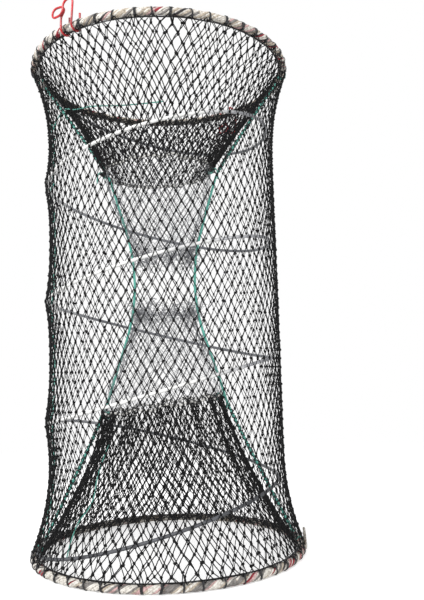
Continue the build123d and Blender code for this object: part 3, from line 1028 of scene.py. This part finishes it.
def tie_nets(made, bindings, level, inwards, seed):
    """Black twine round the binding at each tie, and its knot outside."""
    draw = np.random.default_rng(seed)
    for number in range(bindings.ties):
        azimuth = number * math.tau / bindings.ties + draw.normal(0, 0.008)
        place = around(azimuth, hoop_radius, level + inwards)
        ahead = around(azimuth + math.pi / 2, 1.0, 0)
        bound_to(place, ahead, binding_radius - 0.6 * MM, bindings.tie_twine,
                 draw.choice((1.7, 2.4, 3.2)), draw.normal(0, 0.18), seed * 100 + number, made)
        corner = 0.75 * binding_radius
        knot = place + around(azimuth, corner, math.copysign(corner, inwards))
        made.lumps(knot[None], (1.9 * MM, 1.4 * MM, 1.3 * MM), knot_frames(knot[None], 0.5, number))


def lash_tail(made, which, twine, seed):
    """Black twine that holds a tail of the spring to its hoop."""
    node = f"{which}_spring_lashing"
    low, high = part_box(node)
    ahead = around(node_azimuth(node) + math.pi / 2, 1.0, 0)
    reach = (high.z - low.z) / 2 - twine
    for number, shift in enumerate((-4.5, -1.6, 1.4, 4.4)):
        place = (low + high) / 2 + Vector(ahead) * shift * MM
        bound_to(np.array(place), ahead, reach, twine, 2.3, 0.12, seed * 10 + number, made)


def end_knot(strips):
    """Where the binding's rope ends: a few loose turns and three loops outside the lower hoop."""
    azimuth = node_azimuth("binding_end_knot")
    out, ahead = around(azimuth, 1.0, 0), around(azimuth + math.pi / 2, 1.0, 0)
    place = around(azimuth, hoop_radius, lower_plane)
    made = Twine(6)
    turns = ((-6.5, 0.1), (-3.4, 0.65), (0, 0.3), (3.2, 0.95), (6.2, 0.05))
    for number, (shift, tone) in enumerate(turns):
        bound_to(place + ahead * shift * MM + UP * 1.2 * MM, ahead, binding_radius - 1.3 * MM, 2.0 * MM,
                 1.3, 0.35, 700 + number, made, tone)
    base = place + out * 3 * MM + UP * (binding_radius - 1 * MM)
    for lean, tall, tone in ((-0.5, 13, 0.2), (0.45, 9, 0.5), (0.1, 15, 0.02)):
        loop = np.array([(-4 - 4 * lean, 0, 0), (-6, 1, 0.45), (9 * lean - 6, 0, 0.9), (9 * lean, 0, 1),
                         (9 * lean + 6, 0, 0.85), (5, 1, 0.4), (3, 0, 0)]) * (1, 1, tall)
        line = smooth_line((base + loop * MM @ np.stack([ahead, out, UP])).tolist(), 1.2 * MM)
        twisted(made, line, 2.8 * MM, 7 * MM, 2, out, tone)
    made.fit("binding_rope_end", strips, LOWER, "rope_binding", ["binding_end_knot"])


class TrapBindings(bpy.types.Operator):
    """Wind the strips round both hoops and tie the nets to them"""
    bl_idname = "trap.bindings"
    bl_label = "Bindings"

    def execute(self, context):
        bindings = context.scene.trap_bindings
        strips = finish_of(wound_strips, bindings)
        twine = finish_of(tying_twine)
        hoops = (("lower", LOWER, lower_plane, 0.6 * MM, 81), ("upper", UPPER, upper_plane, -0.6 * MM, 91))
        for which, body, level, inwards, seed in hoops:
            wound = Twine(6)
            wind_strips(wound, bindings, level, seed)
            wound.fit(f"{which}_hoop_wrapping", strips, body, "rope_binding", [f"{which}_hoop_binding"])
            tied = Twine(5)
            tie_nets(tied, bindings, level, inwards, seed + 1)
            lash_tail(tied, which, bindings.tie_twine, seed + 2)
            nodes = [f"{which}_net_ties", f"{which}_spring_lashing"]
            tied.fit(f"{which}_hoop_ties", twine, body, "black_twine", nodes)
        end_knot(strips)
        return {"FINISHED"}


class TrapWires(bpy.types.Operator):
    """Finish the spring, the hoops' rings and the clips"""
    bl_idname = "trap.wires"
    bl_label = "Spring and clips"

    def execute(self, context):
        wires = context.scene.trap_wires
        coat, steel, red = finish_of(coated_wire, wires), finish_of(hoop_steel), finish_of(clip_coat, wires)
        finishes = {"coil_half_turn_1": finish_of(dulled_wire), "coil_half_turn": coat,
                    "lower_spring_tail": coat, "upper_spring_tail": coat, "lower_hoop_ring": steel,
                    "upper_hoop_ring": steel, "standing_clip": red, "hanging_clip": red}
        for node, shown in frame["nodes"].items():
            for start, finish in finishes.items():
                if node.startswith(start):
                    for slot in shown.material_slots:
                        slot.material = finish
                    break
        return {"FINISHED"}


def white_floor():
    """A wide white floor that keeps the trap's shadow and fades into the surroundings."""
    mesh = bpy.data.meshes.new("floor")
    wide = 12.0
    corners = [(-wide, -wide, 0), (wide, -wide, 0), (wide, wide, 0), (-wide, wide, 0)]
    mesh.from_pydata(corners, [], [(0, 1, 2, 3)])
    floor = new_object("floor", mesh)
    floor.location.z = -0.2 * MM
    material = bpy.data.materials.new("white_paper_sweep")
    tree = cleared(material)
    paper = add_node(tree, "BsdfDiffuse", Color=linear("#F4F4F4"))
    white = add_node(tree, "Emission", Color=linear("#FFFFFF"), Strength=1.0)
    lift = add_node(tree, "Emission", Color=linear("#FFFFFF"), Strength=0.5)
    seen = seen_by_camera(tree)
    lifted = add_node(tree, "AddShader", _0=paper.outputs[0], _1=lift.outputs[0])
    near = add_node(tree, "MixShader", _0=seen, _1=paper.outputs[0], _2=lifted.outputs[0])
    place = add_node(tree, "TexCoord")
    away = add_node(tree, "VectorMath", {"operation": "LENGTH"}, _0=place.outputs["Object"])
    fade_from, white_from = 0.35, 1.1
    fade = add_node(tree, "MapRange", Value=away.outputs["Value"], From_Min=fade_from, From_Max=white_from)
    distant = add_node(tree, "Math", {"operation": "MULTIPLY"}, _0=fade.outputs[0], _1=seen)
    mixed = add_node(tree, "MixShader", _0=distant.outputs[0], _1=near.outputs[0],
                     _2=white.outputs[0])
    add_node(tree, "OutputMaterial", Surface=mixed.outputs[0])
    mesh.materials.append(material)


def seen_by_camera(tree):
    """1 where the camera sees a surface, directly or in metal or glass; 0 for light on the trap."""
    rays = add_node(tree, "LightPath").outputs
    seen = rays["Is Camera Ray"]
    for other in ("Is Glossy Ray", "Is Transmission Ray"):
        either = add_node(tree, "Math", {"operation": "MAXIMUM"}, _0=seen, _1=rays[other])
        seen = either.outputs[0]
    return seen


def white_sky(scene, stage):
    """White surroundings: strength 1 where they are seen, less as light on the trap."""
    scene.world = bpy.data.worlds.new("white_studio")
    tree = cleared(scene.world)
    strength = add_node(tree, "MapRange", Value=seen_by_camera(tree), To_Min=stage.sky,
                        To_Max=1.0)
    back = add_node(tree, "Background", Color=linear("#FFFFFF"),
                    Strength=strength.outputs[0])
    add_node(tree, "OutputWorld", Surface=back.outputs[0])


class TrapStage(bpy.types.Operator):
    """Lay the floor and set the lights"""
    bl_idname = "trap.stage"
    bl_label = "Stage"

    def execute(self, context):
        scene, stage = context.scene, context.scene.trap_stage
        scene.view_settings.view_transform = "Standard"
        white_floor()
        white_sky(scene, stage)
        centre = Vector((0, 0, (lower_plane + upper_plane) / 2))
        for name, place, size, power in (
                ("key_light", (-0.75, -1.15, 1.15), 0.8, stage.key_power),
                ("fill_light", (1.3, -0.7, 0.8), 1.4, stage.fill_power)):
            data = bpy.data.lights.new(name, "AREA")
            data.size = size
            data.energy = power
            lamp = new_object(name, data)
            lamp.location = place
            lamp.rotation_euler = (centre - Vector(place)).to_track_quat("-Z", "Y").to_euler()
        return {"FINISHED"}


OPERATORS = (TrapCamera, TrapSideCords, TrapBodyNet, TrapFunnels, TrapThroats, TrapBindings, TrapWires,
             TrapStage)


class TrapPanel(bpy.types.Panel):
    """Settings and pieces of the crab trap"""
    bl_idname = "VIEW3D_PT_crab_trap"
    bl_label = "Crab trap"
    bl_space_type = "VIEW_3D"
    bl_region_type = "UI"
    bl_category = "Crab trap"

    def draw(self, context):
        for group, kind in GROUPS.items():
            box = self.layout.box()
            box.label(text=kind.__doc__)
            for setting in kind.__annotations__:
                box.prop(getattr(context.scene, group), setting)
        for operator in OPERATORS:
            self.layout.operator(operator.bl_idname)


def register():
    for kind in (*GROUPS.values(), *OPERATORS, TrapPanel):
        bpy.utils.register_class(kind)
    for group, kind in GROUPS.items():
        setattr(bpy.types.Scene, group, PointerProperty(type=kind))


def unregister():
    for group in GROUPS:
        delattr(bpy.types.Scene, group)
    for kind in reversed((*GROUPS.values(), *OPERATORS, TrapPanel)):
        bpy.utils.unregister_class(kind)


def main():
    register()
    for operator in OPERATORS:
        family, name = operator.bl_idname.split(".")
        getattr(getattr(bpy.ops, family), name)()


if __name__ == "__main__":
    main()
